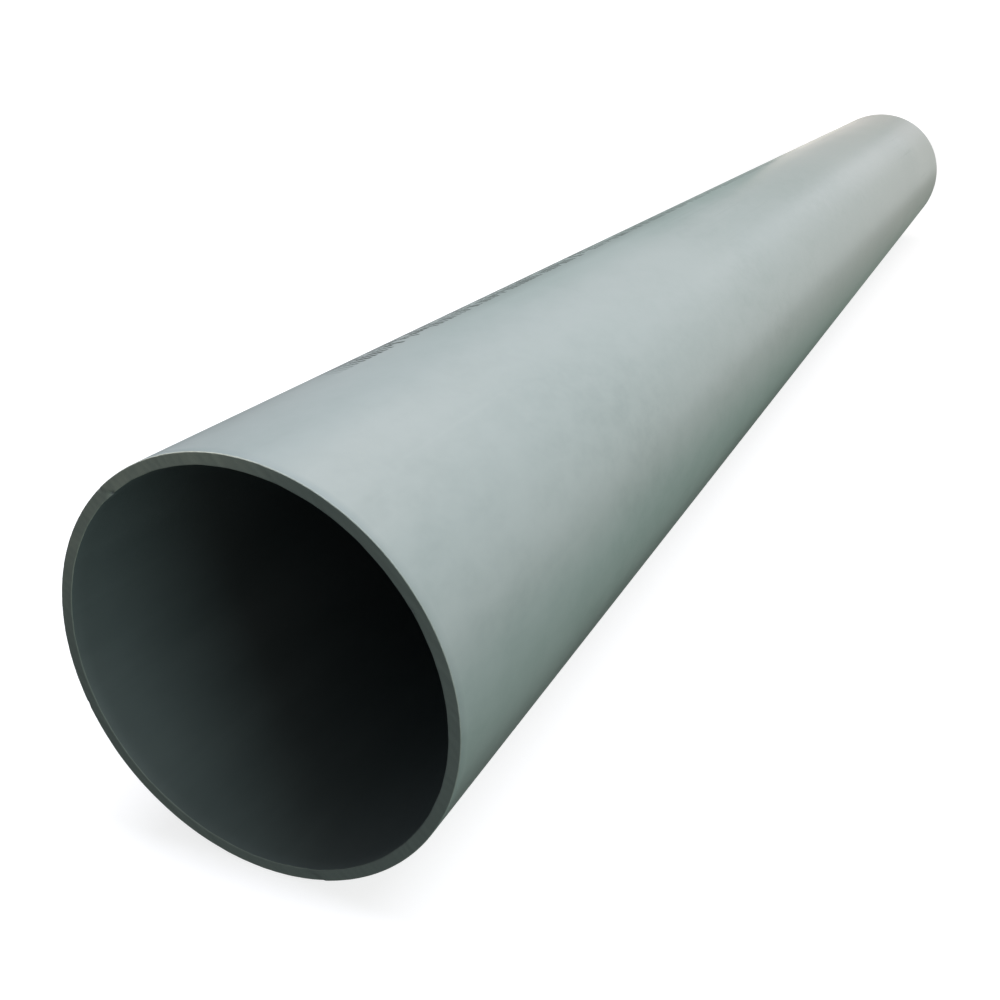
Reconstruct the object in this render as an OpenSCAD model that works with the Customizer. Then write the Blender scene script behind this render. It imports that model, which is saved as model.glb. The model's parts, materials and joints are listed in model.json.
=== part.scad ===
// Plain-ended PVC-U drain pipe, lying on the floor along X.
// One extruded tube, sawn square at both ends, with the saw burr scraped off each edge.
// Units are millimetres. The origin is on the floor, under the middle of the pipe.

/* [Pipe] */
// Outside diameter, the nominal size that sockets and clips are made for
outside_d = 110; // [32:1:400]
// Wall thickness
wall = 3.2; // [1.8:0.1:12]
// Length between the two sawn ends
pipe_length = 1000; // [100:10:6000]

/* [Sawn ends] */
// Width of the bevel scraped on the outer edge of each end
outer_bevel = 0.5; // [0.1:0.1:2]
// Width of the bevel scraped on the bore edge of each end
inner_bevel = 0.4; // [0.1:0.1:2]

/* [Hidden] */

outer_r = outside_d / 2;
bore_r = outer_r - wall;

// Both bevels together leave at least a third of the wall as flat sawn face
widest_bevel = wall / 3;
outer_edge = min(outer_bevel, widest_bevel);
inner_edge = min(inner_bevel, widest_bevel);

// Segments per turn; each round wall stays a true surface of revolution
turn_steps = 180;

pvc_grey = [0.60, 0.63, 0.62];

// The wall's section along the axis, from the bore outwards, with its four scraped edges
module wall_section() {
    polygon([
        [bore_r + inner_edge, 0],
        [outer_r - outer_edge, 0],
        [outer_r, outer_edge],
        [outer_r, pipe_length - outer_edge],
        [outer_r - outer_edge, pipe_length],
        [bore_r + inner_edge, pipe_length],
        [bore_r, pipe_length - inner_edge],
        [bore_r, inner_edge]
    ]);
}

// The section is turned about the axis, then the tube is laid down so that it touches the floor
module pipe() {
    color(pvc_grey)
        translate([-pipe_length / 2, 0, outer_r])
            rotate([0, 90, 0])
                rotate_extrude($fn = turn_steps)
                    wall_section();
}

pipe();
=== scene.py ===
"""The looks of the drain pipe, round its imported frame: a fine mesh of the one tube with its sawn ends, its
plastic, a pale studio and the camera. Metres, in the CAD model's frame: the pipe lies along X on z = 0."""

import json
import math
from random import Random

import bpy
import numpy as np
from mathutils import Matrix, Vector


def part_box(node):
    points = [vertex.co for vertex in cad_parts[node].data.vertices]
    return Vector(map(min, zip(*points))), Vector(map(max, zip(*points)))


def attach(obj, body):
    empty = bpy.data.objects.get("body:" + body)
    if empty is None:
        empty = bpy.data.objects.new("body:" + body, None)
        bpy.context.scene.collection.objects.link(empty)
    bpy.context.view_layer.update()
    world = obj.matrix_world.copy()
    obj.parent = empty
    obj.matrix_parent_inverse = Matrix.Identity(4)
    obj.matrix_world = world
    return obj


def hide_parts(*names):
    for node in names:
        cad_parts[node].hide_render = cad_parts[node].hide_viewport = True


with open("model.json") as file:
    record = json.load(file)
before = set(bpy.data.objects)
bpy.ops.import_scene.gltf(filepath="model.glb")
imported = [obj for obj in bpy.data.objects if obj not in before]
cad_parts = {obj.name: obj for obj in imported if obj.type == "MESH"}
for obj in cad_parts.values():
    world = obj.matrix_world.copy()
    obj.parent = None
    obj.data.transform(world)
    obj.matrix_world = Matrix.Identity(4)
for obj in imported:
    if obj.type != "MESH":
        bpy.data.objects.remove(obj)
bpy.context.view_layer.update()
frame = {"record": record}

# --- the pipe's sizes, from the frame -------------------------------------------------------------------
LOW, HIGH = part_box("pipe")
MOUNTS = {mount["name"]: mount for mount in frame["record"]["mounts"]}
OUTER_R = MOUNTS["spigot_near"]["dims"]["r_mm"] / 1000
BORE_R = MOUNTS["bore"]["dims"]["r_mm"] / 1000
WALL = OUTER_R - BORE_R
LENGTH = HIGH.x - LOW.x
AXIS_Z = (LOW.z + HIGH.z) / 2
NEAR_X = LOW.x
MIDDLE_X = NEAR_X + LENGTH / 2

# --- the mesh's steps, and its edges --------------------------------------------------------------------
TURN_STEPS = 480
OUTER_STEPS = 64
BORE_STEPS = 48
FACE_STEPS = 10
EDGE_STEPS = 5
CROWDING = 0.13  # how strongly the steps crowd near both ends of a stretch; 0 spaces them evenly
OUTER_BEVEL = 0.00018  # both bevels are narrower than the CAD's, and nearer to what the photo shows
INNER_BEVEL = 0.00017
BEVEL_ROUNDNESS = 0.35  # 0 is a straight bevel, 1 a full round
SLOTS = {"skin": 0, "edge": 1, "sawn": 1, "bore": 2}  # the material of each zone

# --- relief, all of it cut into the wall ----------------------------------------------------------------
PHASES = (0, 6.28)  # about a full turn, in radians
DRAW_WAVE = 0.00005  # how deep the slow waves are that the extruder left
WAVE_LOBES = (3, 5, 8, 13, 21)  # how many waves go round the wall
WAVE_TURNS = (0.4, 2.6)  # the least and the most waves along the pipe
SAW_STEP = 0.00022  # how much deeper the first saw stroke's face lies than the second's
SAW_CHATTER = 0.00002  # how deep each set of the blade's lines is
BLADE_PITCHES = (0.0021, 0.0033, 0.0057)
BLADE_HEADINGS = (2.2, 2.5)  # the limits of the direction across them, in radians from +Y upwards
# Where the second stroke starts and ends, at the outer edge and at the bore, on the near end: degrees past
# the top towards +Y. The far end mirrors the near one, with its chips.
STROKE_FROM = (-162.0, -166.0)
STROKE_TO = (42.0, 39.3)
STROKE_BLEND = 0.7  # the width of its limits, in degrees
END_REACH = 0.004  # how far along the wall the uneven cut is felt
SCRAPE = 0.00013  # how far the scraped bore edge wanders into the wall
SCRAPE_REACH = 0.0015  # how far along the bore it goes
SCRAPE_LOBES = (5, 9, 17, 31, 47)
SCRAPE_MEAN = 0.35  # the share of that depth round which it wanders
# Chips that the saw left: degrees past the top towards +Y, radius, length round the wall, width across it,
# depth
CHIPS = (
    (39.8, BORE_R + 0.0003, 0.0022, 0.0010, 0.00055),
    (41.8, OUTER_R - 0.0003, 0.0010, 0.0008, 0.00022),
    (112.0, OUTER_R - 0.0002, 0.0012, 0.0006, 0.00018),
    (-58.0, BORE_R + 0.0002, 0.0012, 0.0006, 0.00015),
)
# How far from a chip's middle it is still at its full depth, and where it ends, where 1 is half its size
CHIP_SLOPE = (0.4, 1.3)
CHIP_WHITE = (0.5, 1.1)  # the same for its whitened plastic


# --- colours --------------------------------------------------------------------------------------------
def linear(red, green, blue):
    """A colour given as it looks on a screen, 0 to 1, as the renderer's linear numbers."""
    def channel(v):
        return v / 12.92 if v <= 0.04045 else ((v + 0.055) / 1.055) ** 2.4

    return (channel(red), channel(green), channel(blue), 1.0)


BLACK = (0.0, 0.0, 0.0, 1.0)
WHITE = (1.0, 1.0, 1.0, 1.0)
PVC = linear(0.503, 0.547, 0.532)
PVC_PALE = linear(0.537, 0.574, 0.561)
PVC_DEEP = linear(0.461, 0.510, 0.494)
PVC_FRESH = linear(0.740, 0.760, 0.735)
# PVC_SAWN is the cut's tone under painted light; PVC_SAWN_DEEP is both its painted shade and the tone of its
# deeper patches, strokes and lines
PVC_SAWN = linear(0.788, 0.798, 0.718)
PVC_SAWN_DEEP = linear(0.594, 0.626, 0.582)
PVC_BORE = linear(0.470, 0.502, 0.494)
PVC_BORE_DEEP = linear(0.427, 0.461, 0.455)
DUST = linear(0.690, 0.700, 0.680)
INK = linear(0.115, 0.155, 0.130)
PVC_IOR = 1.53


# --- mesh -----------------------------------------------------------------------------------------------
def new_object(name, data):
    """A new object in the scene, of the given mesh, light or camera."""
    made = bpy.data.objects.new(name, data)
    bpy.context.scene.collection.objects.link(made)
    return made


def crowded(count):
    """Shares from 0 to 1, closer together near both ends."""
    even = np.linspace(0, 1, count)
    return even - CROWDING * np.sin(2 * math.pi * even)


def wall_section():
    """The loop of (distance from the near end, radius, zone) that is turned about the axis: out along the
    skin, down the far cut, back through the bore and up the near cut, with a bevel between each two."""
    flats = [
        ("skin", (OUTER_BEVEL, OUTER_R), (LENGTH - OUTER_BEVEL, OUTER_R), OUTER_STEPS),
        ("sawn", (LENGTH, OUTER_R - OUTER_BEVEL), (LENGTH, BORE_R + INNER_BEVEL), FACE_STEPS),
        ("bore", (LENGTH - INNER_BEVEL, BORE_R), (INNER_BEVEL, BORE_R), BORE_STEPS),
        ("sawn", (0.0, BORE_R + INNER_BEVEL), (0.0, OUTER_R - OUTER_BEVEL), FACE_STEPS),
    ]
    loop = []
    for n, (zone, start, end, steps) in enumerate(flats):
        start, end = np.array(start), np.array(end)
        for share in crowded(steps):
            loop.append((*(start + (end - start) * share), zone))
        following = np.array(flats[(n + 1) % len(flats)][1])
        corner = np.array((end[0], following[1]) if zone == "sawn" else (following[0], end[1]))
        middle = (end + following) / 2
        control = middle + (corner - middle) * BEVEL_ROUNDNESS
        for k in range(1, EDGE_STEPS):
            t = k / EDGE_STEPS
            point = end * (1 - t) ** 2 + control * 2 * t * (1 - t) + following * t**2
            loop.append((*point, "edge"))
    return loop


def smooth_step(low, high, value):
    """Goes smoothly from 0 to 1 as value goes from low to high."""
    t = np.clip((value - low) / (high - low), 0, 1)
    return t * t * (3 - 2 * t)


def long_waves(along, angle, seed):
    """A few slow waves round and along the wall, from 0 to 1."""
    draw = Random(seed)
    total = 0
    for lobes in WAVE_LOBES:
        turns = draw.uniform(*WAVE_TURNS)
        phase, phase_along = draw.uniform(*PHASES), draw.uniform(*PHASES)
        waves_along = np.cos(2 * math.pi * turns * along / LENGTH + phase_along)
        total = total + np.cos(lobes * angle + phase) * waves_along
    return 0.5 + total / (2 * len(WAVE_LOBES))


def scraped_depth(angle, seed):
    """How far the bore's edge has been scraped back, unevenly, from 0 to 1."""
    draw = Random(seed)
    total = 0
    for lobes in SCRAPE_LOBES:
        total = total + np.cos(lobes * angle + draw.uniform(*PHASES))
    return np.clip(SCRAPE_MEAN + total / len(SCRAPE_LOBES), 0, 1)


def second_stroke(angle, radius):
    """1 where the saw's second stroke cut the near end, 0 elsewhere."""
    across = (OUTER_R - radius) / WALL
    degrees = np.degrees(angle)
    past_first = degrees - STROKE_FROM[0] - across * (STROKE_FROM[1] - STROKE_FROM[0])
    past_last = degrees - STROKE_TO[0] - across * (STROKE_TO[1] - STROKE_TO[0])
    return smooth_step(0, STROKE_BLEND, past_first) * (1 - smooth_step(-STROKE_BLEND, 0, past_last))


def cut_depth(angle, radius, seed):
    """How far the sawn face lies inside the true end: the strokes' step, the blade's lines, the chips."""
    draw = Random(seed)
    y, z = radius * np.sin(angle), radius * np.cos(angle)
    chatter = 0
    for pitch in BLADE_PITCHES:
        heading = draw.uniform(*BLADE_HEADINGS)
        reach = y * math.cos(heading) + z * math.sin(heading)
        chatter = chatter + 0.5 + 0.5 * np.cos(2 * math.pi * reach / pitch + draw.uniform(*PHASES))
    depth = SAW_STEP * (1 - second_stroke(angle, radius)) + SAW_CHATTER * chatter
    for chip_angle, chip_radius, chip_length, chip_width, chip_depth in CHIPS:
        round_the_wall = radius * (angle - math.radians(chip_angle)) / (chip_length / 2)
        gap = np.hypot(round_the_wall, (radius - chip_radius) / (chip_width / 2))
        depth = depth + chip_depth * (1 - smooth_step(*CHIP_SLOPE, gap))
    return depth


def relieved(along, radius, angle):
    """The places (distance from the near end, radius) of the section's points once the relief is cut."""
    wave = DRAW_WAVE * long_waves(along, angle, seed=4)
    to_end = np.minimum(along, LENGTH - along)
    scrape = SCRAPE * scraped_depth(angle, seed=12) * (1 - smooth_step(0, SCRAPE_REACH, to_end))
    scrape = scrape * (1 - smooth_step(0, WALL / 2, radius - BORE_R))
    cut_radius = radius - np.where(radius > BORE_R + WALL / 2, wave, -wave - scrape)
    near = 1 - smooth_step(0, END_REACH, along)
    far = 1 - smooth_step(0, END_REACH, LENGTH - along)
    near_cut = near * cut_depth(angle, radius, seed=7)
    far_cut = far * cut_depth(-angle, radius, seed=9)
    return along + near_cut - far_cut, cut_radius


def tube_faces(rings):
    """Four-cornered faces between the rings and round them, facing outwards."""
    ring, step = np.meshgrid(np.arange(rings), np.arange(TURN_STEPS), indexing="ij")
    here, there = ring * TURN_STEPS, (ring + 1) % rings * TURN_STEPS
    next_step = (step + 1) % TURN_STEPS
    corners = [here + step, there + step, there + next_step, here + next_step]
    return np.stack(corners, axis=-1).reshape(-1, 4)


def pipe_mesh():
    """The whole tube as one closed mesh, with its relief cut inwards, so that it stays in the true size."""
    loop = wall_section()
    rings = len(loop)
    zones = [point[2] for point in loop]
    along = np.array([[point[0]] for point in loop])
    radius = np.array([[point[1]] for point in loop])
    angle = np.linspace(-math.pi, math.pi, TURN_STEPS, endpoint=False)[None, :]
    x, r = relieved(along, radius, angle)
    points = np.stack([NEAR_X + x, r * np.sin(angle), AXIS_Z + r * np.cos(angle)], axis=-1)
    faces = tube_faces(rings)

    mesh = bpy.data.meshes.new("drain_pipe")
    mesh.from_pydata(points.reshape(-1, 3).tolist(), [], faces.tolist())
    following = zones[1:] + zones[:1]
    ring_slot = [SLOTS[zone if zone == after else "edge"] for zone, after in zip(zones, following)]
    mesh.polygons.foreach_set("material_index", np.repeat(ring_slot, TURN_STEPS))
    mesh.polygons.foreach_set("use_smooth", np.ones(len(faces), bool))
    mesh.update()
    mesh.validate()
    return mesh


# --- shader nodes ---------------------------------------------------------------------------------------
class Nodes:
    """A node tree, emptied, with short calls for the few kinds of node used here."""

    def __init__(self, owner):
        owner.use_nodes = True
        self.tree = owner.node_tree
        self.tree.nodes.clear()

    def add(self, kind, **settings):
        node = self.tree.nodes.new(kind)
        for key, value in settings.items():
            setattr(node, key, value)
        return node

    def feed(self, socket, value):
        """Links the socket to another one, or sets its number or colour."""
        if isinstance(value, bpy.types.NodeSocket):
            self.tree.links.new(value, socket)
        else:
            socket.default_value = value

    def math(self, operation, a, b=0.0, c=0.0):
        node = self.add("ShaderNodeMath", operation=operation)
        for socket, value in zip(node.inputs, (a, b, c)):
            self.feed(socket, value)
        return node.outputs[0]

    def vector_math(self, operation, a, b=(0.0, 0.0, 0.0), output="Vector"):
        node = self.add("ShaderNodeVectorMath", operation=operation)
        self.feed(node.inputs[0], a)
        self.feed(node.inputs[1], b)
        return node.outputs[output]

    def parts(self, vector):
        node = self.add("ShaderNodeSeparateXYZ")
        self.feed(node.inputs[0], vector)
        return tuple(node.outputs)

    def ramp(self, value, low, high, start=0.0, end=1.0, kind="SMOOTHSTEP"):
        """Goes smoothly, or evenly if kind is LINEAR, from start to end as value goes from low to high."""
        node = self.add("ShaderNodeMapRange", interpolation_type=kind)
        for socket, number in zip(node.inputs, (value, low, high, start, end)):
            self.feed(socket, number)
        return node.outputs[0]

    def above(self, value, limit, blur):
        """1 where value is over the limit, 0 where it is under, over a width of blur."""
        return self.ramp(self.math("SUBTRACT", value, limit), -blur / 2, blur / 2)

    def all_of(self, first, *others):
        for other in others:
            first = self.math("MULTIPLY", first, other)
        return first

    def sum_of(self, first, *others):
        for other in others:
            first = self.math("ADD", first, other)
        return first

    def mix(self, share, a, b):
        node = self.add("ShaderNodeMix", data_type="RGBA")
        for socket, value in ((node.inputs["Factor"], share), (node.inputs[6], a), (node.inputs[7], b)):
            self.feed(socket, value)
        return node.outputs[2]


class Shading(Nodes):
    """One material, with its textures in object coordinates."""

    def __init__(self, name):
        self.material = bpy.data.materials.new(name)
        super().__init__(self.material)
        self.surface = self.add("ShaderNodeBsdfPrincipled")
        self.feed(self.add("ShaderNodeOutputMaterial").inputs["Surface"], self.surface.outputs["BSDF"])
        self.place = self.add("ShaderNodeTexCoord").outputs["Object"]

    def set(self, **values):
        """Sets or links the surface's own sockets: set(Roughness=0.4)."""
        for key, value in values.items():
            self.feed(self.surface.inputs[key.replace("_", " ")], value)

    def noise(self, each_way, detail=2.0, roughness=0.5):
        """Cloudy noise from 0 to 1, with each_way features in a metre along X, Y and Z."""
        node = self.add("ShaderNodeTexNoise")
        self.feed(node.inputs["Vector"], self.vector_math("MULTIPLY", self.place, each_way))
        self.feed(node.inputs["Scale"], 1.0)
        self.feed(node.inputs["Detail"], detail)
        self.feed(node.inputs["Roughness"], roughness)
        return node.outputs[0]

    def random(self, *numbers):
        """A fixed random number from 0 to 1 for each set of three numbers."""
        node = self.add("ShaderNodeTexWhiteNoise", noise_dimensions="3D")
        joined = self.add("ShaderNodeCombineXYZ")
        for socket, value in zip(joined.inputs, numbers):
            self.feed(socket, value)
        self.feed(node.inputs["Vector"], joined.outputs[0])
        return node.outputs["Value"]

    def bump(self, height, depth, normal=None):
        """Relief of the given depth in metres where height goes from 0 to 1."""
        node = self.add("ShaderNodeBump")
        self.feed(node.inputs["Distance"], depth)
        self.feed(node.inputs["Height"], height)
        if normal:
            self.feed(node.inputs["Normal"], normal)
        return node.outputs[0]


# --- the print's place: two rows of plain ticks ---------------------------------------------------------
PRINT_START = (0.060, 0.086)  # where it starts, and where it is at its full strength
PRINT_END = 0.600
PRINT_FADE = (0.28, 0.56)  # the distances along the pipe between which it gets fainter
PRINT_FAINT = 0.30  # how much of its strength is left after that
PRINT_ROWS = ((0.0127, 0.0183), (0.0189, 0.0245))  # distances past the top line towards +Y, round the wall
TICK_PITCH = 0.0031
TICK_WIDTHS = (0.0013, 0.0022)  # well under the pitch, so that no two ticks join into a shape
TICK_SHORTER = 0.4  # how much of its height a short tick lacks
TICKS_SHORT = 0.25  # the share of short ones
TICKS_LEFT_OUT = 0.03  # the share of places left empty
GROUP_PITCH = 0.051
GROUP_GAP = 0.0028
GROUP_SHIFT = 0.013  # how far the second row's groups lie from the first row's
INK_BLUR = 0.00025
INK_WEAR = (700, 1100, 1100)  # features in a metre each way
INK_WORN = (0.30, 0.48, 0.80, 1.0)  # the values of that texture, and how strong the ink is left at each
INK_HAZE = 0.20  # how strong the ink is that was rubbed off beside the rows, towards the top line
HAZE_REACH = (0.003, 0.0125)  # where it starts and is strongest, past the top line
HAZE_SPAN = (0.08, 0.18, 0.30, 0.42)  # where along the pipe it comes and goes
GROUP_BLUR = 0.005
CHANCE_BLUR = 0.01
WIDTH_DRAW, SHORT_DRAW, KEPT_DRAW = 0.5, 1.5, 3.5  # which of a tick's random numbers is which


def row_of_ticks(s, along, arc, row):
    """Where the ticks of one row are, 0 to 1, each in a cell of its own along the pipe."""
    low, high = PRINT_ROWS[row]
    cell = s.math("FLOOR", s.math("DIVIDE", along, TICK_PITCH))
    into_cell = s.math("SUBTRACT", along, s.math("MULTIPLY", cell, TICK_PITCH))

    def chance(draw):
        """A fixed random number from 0 to 1 for each tick of the row, another one for each draw."""
        return s.random(cell, row + 0.5, draw)

    width = s.ramp(chance(WIDTH_DRAW), 0, 1, *TICK_WIDTHS)
    short = s.above(chance(SHORT_DRAW), 1 - TICKS_SHORT, CHANCE_BLUR)
    start = s.math("MULTIPLY_ADD", short, (high - low) * TICK_SHORTER, low)
    shifted = s.math("ADD", along, GROUP_SHIFT * row)
    into_group = s.math("FRACT", s.math("DIVIDE", shifted, GROUP_PITCH))
    return s.all_of(
        s.above(width, into_cell, INK_BLUR),
        s.above(arc, start, INK_BLUR),
        s.above(high, arc, INK_BLUR),
        s.above(chance(KEPT_DRAW), TICKS_LEFT_OUT, CHANCE_BLUR),
        s.above(into_group, GROUP_GAP / GROUP_PITCH, GROUP_BLUR),
    )


def print_marks(s, along, arc):
    """Where the ink is, 0 to 1: two rows of plain upright ticks, each row on one line, with a gap between
    every two ticks and a wider one between groups. It is no lettering: there is only one shape, and some of
    them are shorter."""
    ink = 0.0
    for row in range(len(PRINT_ROWS)):
        ink = s.math("MAXIMUM", ink, row_of_ticks(s, along, arc, row))
    worn = s.ramp(s.noise(INK_WEAR), *INK_WORN)
    fade = s.ramp(along, *PRINT_FADE, 1.0, PRINT_FAINT)
    begun = s.ramp(along, *PRINT_START)
    ticks = s.all_of(ink, worn, fade, begun, s.above(PRINT_END, along, INK_BLUR))
    beside = s.all_of(s.ramp(arc, *HAZE_REACH), s.ramp(arc, HAZE_REACH[1], PRINT_ROWS[1][0], 1, 0))
    haze = s.all_of(beside, s.ramp(along, *HAZE_SPAN[:2]), s.ramp(along, *HAZE_SPAN[2:], 1, 0), INK_HAZE)
    return s.math("MAXIMUM", ticks, haze)


# --- the skin -------------------------------------------------------------------------------------------
# Its textures: features in a metre along X, Y and Z, how many finer layers they have, how strong those are
SKIN_TEXTURES = {
    "clouds": ((14, 26, 26), 2, 0.4),
    "patches": ((3.5, 11, 11), 2, 0.5),
    "mottle": ((90, 150, 150), 2, 0.5),
    "flecks": ((300, 420, 420), 1, 0.5),
    "draw_lines": ((2.4, 280, 280), 3, 0.6),
    "grain": ((1500, 1500, 1500), 2, 0.5),
    "rubbed": ((9, 420, 420), 1, 0.5),
    "handled": ((5, 16, 16), 1, 0.5),
}
CLOUDY = (0.25, 0.75)  # the values of a texture between which its effect comes in, where not said apart
# What makes the skin paler: the texture, the values between which it does so, and its share at the most
SKIN_PALED_BY = (
    ("patches", (0.35, 0.75), 0.70),
    ("mottle", CLOUDY, 0.55),
    ("flecks", CLOUDY, 0.32),
    ("draw_lines", (0.35, 0.75), 0.08),
)
# The values of two textures between which the skin is scuffed where both are high
RUBBED = (0.58, 0.80)
HANDLED = (0.45, 0.75)
SCUFF_SHARE = 0.12
SPECKS = 80  # places for a speck of dust in a metre each way
SPECKS_LEFT_OUT = 0.95  # the share of places left empty
SPECK_EDGE = (0.03, 0.08)  # where one starts to fade and where it ends, in widths of such a place
SPECK_SHARE = 0.4
INK_SHARE = 0.94
DUSTY_TOP = 0.10  # the most dust on the top, where patches of it lie
DUSTY_PATCHES = (0.35, 0.70)
DUSTY_END = (0.84, 0.95)  # the distances along the pipe between which more dust has settled
DUSTY_SHARE = 0.36  # how much more, at the most
SKIN_ROUGHNESS = (0.280, 0.315)  # what the clouds give; everything else only makes it rougher
MOTTLE_ROUGHER = 0.012
ROUGH_MOTTLE = (0.2, 0.8)
SCUFF_ROUGHER = 0.12
INK_ROUGHER = 0.35
DUST_ROUGHER = 0.13
LINE_DEPTH = 0.00002
GRAIN_DEPTH = 0.000004


def round_the_wall(s):
    """Sockets for the place along the pipe from its near end, for the distance round the outside from the
    top line towards +Y, and for the height."""
    x, y, z = s.parts(s.place)
    along = s.math("SUBTRACT", x, NEAR_X)
    angle = s.math("ARCTAN2", y, s.math("SUBTRACT", z, AXIS_Z))
    return along, s.math("MULTIPLY", angle, OUTER_R), z


def speck_marks(s):
    """Where the few small specks of dust are, 0 to 1."""
    specks = s.add("ShaderNodeTexVoronoi")
    s.feed(specks.inputs["Vector"], s.vector_math("MULTIPLY", s.place, (SPECKS, SPECKS, SPECKS)))
    s.feed(specks.inputs["Scale"], 1.0)
    kept = s.add("ShaderNodeSeparateColor")
    s.feed(kept.inputs[0], specks.outputs["Color"])
    dot = s.ramp(specks.outputs["Distance"], *SPECK_EDGE, 1, 0)
    return s.math("MULTIPLY", dot, s.above(kept.outputs[0], SPECKS_LEFT_OUT, CHANCE_BLUR))


def skin_material():
    """Satin grey-green PVC: cloudy tone, draw lines, a few thin scuffs, some dust on top, and the ticks."""
    s = Shading("pvc_skin")
    along, arc, height = round_the_wall(s)
    textures = {name: s.noise(*values) for name, values in SKIN_TEXTURES.items()}
    scuff = s.all_of(s.ramp(textures["rubbed"], *RUBBED), s.ramp(textures["handled"], *HANDLED))
    settled = s.sum_of(s.ramp(textures["patches"], *DUSTY_PATCHES, 0, DUSTY_TOP),
                       s.ramp(along, *DUSTY_END, 0, DUSTY_SHARE))
    dust = s.math("MULTIPLY", s.ramp(height, AXIS_Z, HIGH.z), settled)
    ink = print_marks(s, along, arc)

    tone = s.mix(s.ramp(textures["clouds"], *CLOUDY), PVC_DEEP, PVC)
    for name, limits, share in SKIN_PALED_BY:
        tone = s.mix(s.ramp(textures[name], *limits, 0, share), tone, PVC_PALE)
    tone = s.mix(s.math("MULTIPLY", scuff, SCUFF_SHARE), tone, DUST)
    tone = s.mix(s.math("MULTIPLY", speck_marks(s), SPECK_SHARE), tone, DUST)
    tone = s.mix(dust, tone, DUST)
    tone = s.mix(s.math("MULTIPLY", ink, INK_SHARE), tone, INK)

    roughness = s.sum_of(
        s.ramp(textures["clouds"], *CLOUDY, *SKIN_ROUGHNESS),
        s.ramp(textures["mottle"], *ROUGH_MOTTLE, 0, MOTTLE_ROUGHER),
        s.math("MULTIPLY", scuff, SCUFF_ROUGHER),
        s.math("MULTIPLY", ink, INK_ROUGHER),
        s.math("MULTIPLY", dust, DUST_ROUGHER),
    )
    relief = s.bump(textures["draw_lines"], LINE_DEPTH)
    relief = s.bump(textures["grain"], GRAIN_DEPTH, relief)
    s.set(Base_Color=tone, Roughness=roughness, Normal=relief, IOR=PVC_IOR)
    return s.material


# --- the cut --------------------------------------------------------------------------------------------
SAWN_PAINTED_LIGHT_LEAN = 0.7  # painted light: the cut is drawn paler at the top, and most so a little towards +Y
SAWN_PAINTED_LIGHT_SPAN = (0.60, 1.15)  # how far that way, in outside radii, it goes over from the deep tone, its painted shade, to the pale one, its painted light
SAW_LINES = {"Scale": 200, "Distortion": 7, "Detail": 3, "Detail Scale": 0.5}
SAW_LINES_TURNED = (0, -1, 1)  # with this they run upwards towards +Y
# Textures: features in a metre along X, Y and Z
SAWN_PATCHES = (110, 110, 110)
SAWN_GRAIN = (1800, 1800, 1800)
RIM_WEAR = (240, 240, 240)
# The values of each between which it shows, and its share at the most
PATCH_SPAN = (0.30, 0.70)
PATCH_SHARE = 0.45
SAW_LINE_SPAN = (0.45, 1.0)
SAW_LINE_SHARE = 0.16
SAWN_GRAIN_SPAN = (0.66, 0.78)
SAWN_GRAIN_SHARE = 0.18
RIM_WEAR_SPAN = (0.50, 0.72)
RIM_SHARE = 0.08
FIRST_STROKE_SHARE = 0.30  # how much deeper in tone the first stroke is than the second
WHITE_GRAIN = (0.25, 0.60, 0.3, 1.0)  # the values of the grain, and how white a chip is at each
RIMS = ((0.02, 0.12), (0.90, 0.98))  # shares of the wall, from outside, between which they end and start
SAWN_ROUGHNESS = (0.52, 0.66)
SAW_LINE_DEPTH = 0.00002
SAWN_GRAIN_DEPTH = 0.00003


def places_on_the_cut(s):
    """Sockets for y and height from the axis, degrees past the top, radius, and share of the wall from
    outside. The far end's degrees run the other way, because it mirrors the near one."""
    x, y, z = s.parts(s.place)
    up = s.math("SUBTRACT", z, AXIS_Z)
    end = s.math("SIGN", s.math("SUBTRACT", MIDDLE_X, x))
    turn = s.all_of(s.math("ARCTAN2", y, up), 180 / math.pi, end)
    radius = s.math("SQRT", s.sum_of(s.math("MULTIPLY", y, y), s.math("MULTIPLY", up, up)))
    across = s.math("DIVIDE", s.math("SUBTRACT", OUTER_R, radius), WALL)
    return y, up, turn, radius, across


def blade_lines(s):
    """The blade's fine lines, from 0 to 1."""
    lines = s.add("ShaderNodeTexWave", wave_type="BANDS", bands_direction="DIAGONAL", wave_profile="SIN")
    s.feed(lines.inputs["Vector"], s.vector_math("MULTIPLY", s.place, SAW_LINES_TURNED))
    for key, value in SAW_LINES.items():
        s.feed(lines.inputs[key], value)
    return lines.outputs["Fac"]


def first_stroke_marks(s, turn, across):
    """1 where the first stroke cut and the second didn't, 0 elsewhere."""
    first, last = (s.math("MULTIPLY_ADD", across, at_bore - outside, outside)
                   for outside, at_bore in (STROKE_FROM, STROKE_TO))
    second = s.all_of(s.above(turn, first, STROKE_BLEND), s.above(last, turn, STROKE_BLEND))
    return s.ramp(second, 0, 1, 1, 0)


def chip_marks(s, turn, radius):
    """Where the plastic in the chips has whitened, 0 to 1."""
    chipped = 0.0
    for degrees, chip_radius, chip_length, chip_width, _ in CHIPS:
        for_each_degree = math.radians(chip_radius) * 2 / chip_length
        turned = s.math("MULTIPLY", s.math("SUBTRACT", turn, degrees), for_each_degree)
        out = s.math("MULTIPLY", s.math("SUBTRACT", radius, chip_radius), 2 / chip_width)
        gap = s.math("SQRT", s.sum_of(s.math("MULTIPLY", turned, turned), s.math("MULTIPLY", out, out)))
        chipped = s.math("MAXIMUM", chipped, s.ramp(gap, *CHIP_WHITE, 1, 0))
    return chipped


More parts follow.
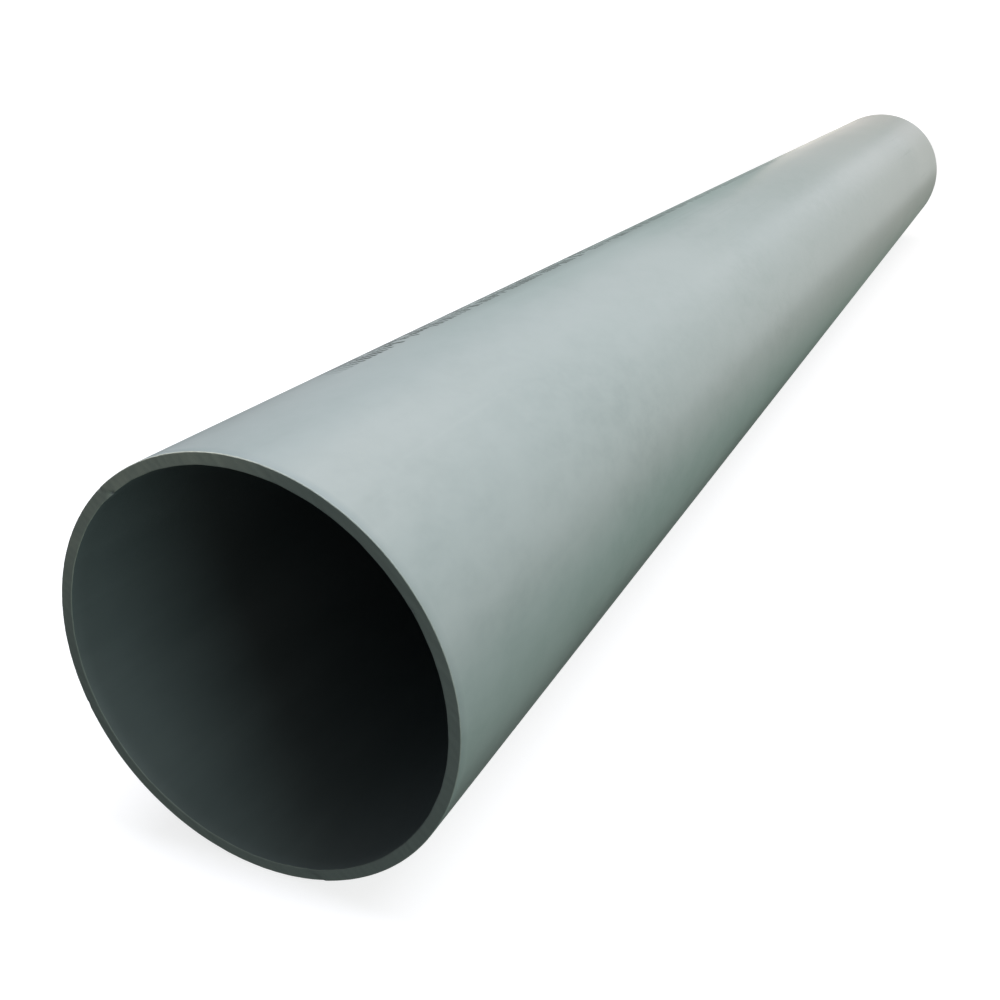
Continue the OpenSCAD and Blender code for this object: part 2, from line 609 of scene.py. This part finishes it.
def sawn_material():
    """The cut: rough and dull, with the blade's fine lines, two strokes of slightly different tone,
    whitened plastic at the chips, a little wear along both rims, and painted light that makes it paler at
    the top."""
    s = Shading("pvc_sawn")
    y, up, turn, radius, across = places_on_the_cut(s)
    lines = blade_lines(s)
    patches = s.noise(SAWN_PATCHES, detail=4, roughness=0.6)
    grain = s.noise(SAWN_GRAIN)

    painted_light_side = s.math("MULTIPLY_ADD", y, SAWN_PAINTED_LIGHT_LEAN, up)
    # painted light and shade: paler towards the top and +Y, deeper below
    tone = s.mix(s.ramp(painted_light_side, *(OUTER_R * reach for reach in SAWN_PAINTED_LIGHT_SPAN)), PVC_SAWN_DEEP, PVC_SAWN)
    tone = s.mix(s.ramp(patches, *PATCH_SPAN, 0, PATCH_SHARE), tone, PVC_SAWN_DEEP)
    first_stroke = s.math("MULTIPLY", first_stroke_marks(s, turn, across), FIRST_STROKE_SHARE)
    tone = s.mix(first_stroke, tone, PVC_SAWN_DEEP)
    tone = s.mix(s.ramp(lines, *SAW_LINE_SPAN, 0, SAW_LINE_SHARE), tone, PVC_SAWN_DEEP)
    tone = s.mix(s.ramp(grain, *SAWN_GRAIN_SPAN, 0, SAWN_GRAIN_SHARE), tone, PVC_FRESH)
    whitened = s.math("MULTIPLY", chip_marks(s, turn, radius), s.ramp(grain, *WHITE_GRAIN))
    tone = s.mix(whitened, tone, PVC_FRESH)
    rims = s.math("MAXIMUM", s.ramp(across, *RIMS[0], 1, 0), s.ramp(across, *RIMS[1]))
    wear = s.all_of(rims, s.ramp(s.noise(RIM_WEAR, detail=3), *RIM_WEAR_SPAN), RIM_SHARE)
    tone = s.mix(wear, tone, PVC_FRESH)

    relief = s.bump(lines, SAW_LINE_DEPTH)
    relief = s.bump(grain, SAWN_GRAIN_DEPTH, relief)
    roughness = s.ramp(patches, *PATCH_SPAN, *SAWN_ROUGHNESS)
    s.set(Base_Color=tone, Roughness=roughness, Normal=relief, IOR=PVC_IOR)
    return s.material


# --- the bore -------------------------------------------------------------------------------------------
# Textures: features in a metre along X, Y and Z
BORE_LINES = (1.6, 190, 190)
BORE_CLOUDS = (9, 30, 30)
BORE_GRAIN = (1200, 1200, 1200)
BORE_CLOUD_SPAN = (0.3, 0.7)
BORE_LINE_SPAN = (0.48, 0.72)
BORE_LINE_SHARE = 0.10
BORE_ROUGHNESS = (0.38, 0.50)
BORE_LINE_DEPTH = 0.00002
BORE_GRAIN_DEPTH = 0.00001


def bore_material():
    """The inside: the same plastic, unhandled, with the mandrel's long lines."""
    s = Shading("pvc_bore")
    lines = s.noise(BORE_LINES, detail=3, roughness=0.6)
    clouds = s.noise(BORE_CLOUDS, detail=4)
    tone = s.mix(s.ramp(clouds, *BORE_CLOUD_SPAN), PVC_BORE_DEEP, PVC_BORE)
    tone = s.mix(s.ramp(lines, *BORE_LINE_SPAN, 0, BORE_LINE_SHARE), tone, PVC)
    relief = s.bump(lines, BORE_LINE_DEPTH)
    relief = s.bump(s.noise(BORE_GRAIN, detail=1), BORE_GRAIN_DEPTH, relief)
    roughness = s.ramp(clouds, *BORE_CLOUD_SPAN, *BORE_ROUGHNESS)
    s.set(Base_Color=tone, Roughness=roughness, Normal=relief, IOR=PVC_IOR)
    return s.material


def make_pipe():
    pipe = new_object("drain_pipe", pipe_mesh())
    for material in (skin_material(), sawn_material(), bore_material()):
        pipe.data.materials.append(material)
    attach(pipe, "root")
    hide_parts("pipe")


# --- backdrop -------------------------------------------------------------------------------------------
STUDIO_FLAT = 3.0  # radius of the level floor
STUDIO_SWEEP = 2.5  # radius of the curve up into the backdrop
STUDIO_RINGS = 24
STUDIO_STEPS = 128
BACKDROP_TONE = linear(0.63, 0.63, 0.63)
BACKDROP_GLOW = (0.78, 0.97)  # its own glow near and far, which keeps it near white and the shadow pale
BACKDROP_FADE = (0.9, 2.2)  # the distances between which the one goes over into the other


def backdrop_mesh():
    """A level floor that sweeps up into a wall all round."""
    profile = [(STUDIO_FLAT, 0.0)]
    for k in range(1, STUDIO_RINGS + 1):
        turn = math.pi / 2 * k / STUDIO_RINGS
        profile.append((STUDIO_FLAT + STUDIO_SWEEP * math.sin(turn), STUDIO_SWEEP * (1 - math.cos(turn))))
    profile.append((STUDIO_FLAT + STUDIO_SWEEP, 2 * STUDIO_SWEEP))
    points = [(0.0, 0.0, 0.0)]
    for radius, height in profile:
        for k in range(STUDIO_STEPS):
            turn = 2 * math.pi * k / STUDIO_STEPS
            points.append((radius * math.cos(turn), radius * math.sin(turn), height))
    faces = []
    for k in range(STUDIO_STEPS):
        after = (k + 1) % STUDIO_STEPS
        faces.append((0, 1 + k, 1 + after))
        for ring in range(len(profile) - 1):
            low, high = 1 + ring * STUDIO_STEPS, 1 + (ring + 1) * STUDIO_STEPS
            faces.append((low + k, high + k, high + after, low + after))
    mesh = bpy.data.meshes.new("backdrop")
    mesh.from_pydata(points, [], faces)
    mesh.polygons.foreach_set("use_smooth", np.ones(len(faces), bool))
    return mesh


def make_backdrop():
    """The pale studio. It lights nothing and shows in no reflection, so the pipe keeps its dark side."""
    backdrop = new_object("backdrop", backdrop_mesh())
    s = Shading("pale_backdrop")
    distance = s.vector_math("LENGTH", s.place, output="Value")
    glow = s.ramp(distance, *BACKDROP_FADE, *BACKDROP_GLOW)
    s.set(Base_Color=BACKDROP_TONE, Roughness=1.0, Specular_IOR_Level=0.0,
          Emission_Color=WHITE, Emission_Strength=glow)
    backdrop.data.materials.append(s.material)
    backdrop.visible_diffuse = False
    backdrop.visible_glossy = False
    backdrop.visible_shadow = False


# --- the pipe's shadow, as its skin reflects it ---------------------------------------------------------
SHADE_Z = -0.0005  # just under the floor, which no reflection shows
SHADE_EDGE = (0.050, 0.066)  # how far to each side the shadow is full, and where it ends
SHADE_DARK = 0.75
SHADE_WEAKER = (-0.05, 0.25)  # the places along X between which light from behind weakens it
SHADE_FAR_SHARE = 0.2
SHADE_TAIL = 0.13  # how far its weak outer part reaches
SHADE_TAIL_DARK = 0.13
SHADE_TONE = (0.050, 0.045, 0.042, 1.0)


def make_contact_shade():
    """The pipe's shadow on the floor, as the pipe's own skin reflects it. The camera doesn't see it."""
    sides = ((LOW.x, -SHADE_TAIL), (HIGH.x, -SHADE_TAIL), (HIGH.x, SHADE_TAIL), (LOW.x, SHADE_TAIL))
    mesh = bpy.data.meshes.new("contact_shade")
    mesh.from_pydata([(x, y, SHADE_Z) for x, y in sides], [], [(0, 1, 2, 3)])
    shade = new_object("contact_shade", mesh)
    s = Shading("contact_shade")
    x, y, _ = s.parts(s.place)
    aside = s.math("ABSOLUTE", y)
    core = s.all_of(s.ramp(aside, *SHADE_EDGE, SHADE_DARK, 0), s.ramp(x, *SHADE_WEAKER, 1, SHADE_FAR_SHARE))
    tail = s.ramp(aside, SHADE_EDGE[0], SHADE_TAIL, SHADE_TAIL_DARK, 0)
    s.set(Base_Color=BLACK, Roughness=1.0, Specular_IOR_Level=0.0, Alpha=s.math("ADD", core, tail),
          Emission_Color=SHADE_TONE, Emission_Strength=1.0)
    mesh.materials.append(s.material)
    shade.visible_camera = False
    shade.visible_shadow = False


# --- lamps ----------------------------------------------------------------------------------------------
LAMP_COOL = (0.87, 0.88, 1.0)
LAMP_SKY = (0.70, 0.95, 1.0)
LAMP_WARM = (1.0, 0.82, 0.75)
# Each softbox: where it hangs, what it faces, its width and height, its strength for each square metre, its
# colour
SOFTBOXES = {
    "overhead": ((-0.42, -0.10, 0.95), (-0.42, -0.10, 0.0), 0.16, 1.30, 62, LAMP_COOL),
    "overhead_far": ((0.50, -0.25, 0.95), (0.50, -0.25, 0.0), 0.60, 1.30, 3.5, LAMP_WARM),
    "fill": ((-0.95, -1.30, 0.50), (-0.50, 0.00, 0.055), 0.60, 0.60, 8, LAMP_SKY),
    "far_strip": ((2.60, -0.22, 0.60), (0.20, 0.00, 0.055), 0.36, 0.60, 1.5, LAMP_COOL),
    "back_fill": ((-0.15, 1.50, 0.10), (-0.10, 0.00, 0.055), 0.70, 0.30, 28, LAMP_COOL),
    "far_low": ((2.60, 0.38, 0.09), (0.20, 0.00, 0.055), 0.45, 0.40, 8.5, LAMP_WARM),
}


def make_softbox(name, centre, target, width, height, strength, colour):
    """A soft rectangle of light, of a set brightness for each square metre of it."""
    light = bpy.data.lights.new(name, "AREA")
    light.shape = "RECTANGLE"
    light.size, light.size_y = width, height
    light.energy = strength * width * height
    light.color = colour
    box = new_object(name, light)
    box.location = centre
    box.rotation_euler = (Vector(target) - Vector(centre)).to_track_quat("-Z", "Y").to_euler()
    box.visible_camera = False


# --- room -----------------------------------------------------------------------------------------------
ROOM_HEADING = -40.0  # where the room is brightest, in degrees from +X towards +Y
ROOM_BRIGHT = (1.12, 1.13, 1.08, 1.0)
ROOM_DIM = (0.09, 0.10, 0.12, 1.0)
FLOOR_BRIGHT = (0.62, 0.62, 0.56, 1.0)
FLOOR_DEEP = (0.32, 0.45, 0.37, 1.0)  # the floor's bright side, close by
FLOOR_DIM = (0.012, 0.012, 0.028, 1.0)
FLOOR_DEPTH = (-0.38, -0.10)  # the slopes downwards between which it goes from close by to far off
FLOOR_LINE = (-0.11, -0.05)  # the slopes downwards between which the floor gives way to the room's walls
CORNER_TONE = (0.30, 0.42, 0.36, 1.0)
# The room's dark corners: heading and height in degrees, how far they are full and how far they reach,
# their share
CORNERS = ((21.0, 5.0, 5.0, 15.0, 1.0), (4.5, 12.5, 2.5, 8.0, 0.45))


def make_world():
    """A plain room, brighter on one side, with a darker floor half that starts a little below level."""
    world = bpy.data.worlds.new("room")
    room = Nodes(world)
    way = room.add("ShaderNodeTexCoord").outputs["Generated"]

    def facing(heading, rise):
        """How nearly a ray goes in a direction: 1 if it does, -1 if it goes the other way."""
        heading, rise = math.radians(heading), math.radians(rise)
        level = math.cos(rise)
        there = (math.cos(heading) * level, math.sin(heading) * level, math.sin(rise))
        return room.vector_math("DOT_PRODUCT", way, there, output="Value")

    towards = room.ramp(facing(ROOM_HEADING, 0), -1.0, 1.0, kind="LINEAR")
    lobe = room.math("MULTIPLY", towards, towards)
    height = room.parts(way)[2]
    near_or_far = room.mix(room.ramp(height, *FLOOR_DEPTH), FLOOR_DEEP, FLOOR_BRIGHT)
    floor = room.mix(lobe, FLOOR_DIM, near_or_far)
    walls = room.mix(lobe, ROOM_DIM, ROOM_BRIGHT)
    tone = room.mix(room.ramp(height, *FLOOR_LINE), floor, walls)
    for heading, rise, full, none, share in CORNERS:
        limits = (math.cos(math.radians(none)), math.cos(math.radians(full)))
        tone = room.mix(room.ramp(facing(heading, rise), *limits, 0, share), tone, CORNER_TONE)
    background = room.add("ShaderNodeBackground")
    room.feed(background.inputs["Color"], tone)
    room.feed(room.add("ShaderNodeOutputWorld").inputs["Surface"], background.outputs[0])
    bpy.context.scene.world = world


# --- camera ---------------------------------------------------------------------------------------------
CAMERA_FROM_NEAR_END = Vector((-1.6415, -1.3397, 1.2723))  # from its centre, in outside diameters
CAMERA_HEADING = 24.77  # degrees to the left of the pipe's own direction
CAMERA_PITCH = 22.91  # degrees downwards
CAMERA_LENS = 41.2  # mm, on a frame of the width below
CAMERA_FRAME = 36.0
CAMERA_CLIP = (0.01, 50.0)


def make_camera():
    camera = new_object("camera", bpy.data.cameras.new("camera"))
    near_end = Vector((NEAR_X, 0.0, AXIS_Z))
    camera.location = near_end + CAMERA_FROM_NEAR_END * 2 * OUTER_R
    heading, pitch = math.radians(CAMERA_HEADING), math.radians(CAMERA_PITCH)
    level = math.cos(pitch)
    aim = Vector((math.cos(heading) * level, math.sin(heading) * level, -math.sin(pitch)))
    camera.rotation_euler = aim.to_track_quat("-Z", "Y").to_euler()
    camera.data.lens = CAMERA_LENS
    camera.data.sensor_width = CAMERA_FRAME
    camera.data.clip_start, camera.data.clip_end = CAMERA_CLIP
    bpy.context.scene.camera = camera


make_pipe()
make_backdrop()
make_contact_shade()
for softbox, settings in SOFTBOXES.items():
    make_softbox(softbox, *settings)
make_world()
make_camera()
bpy.context.scene.view_settings.view_transform = "Standard"
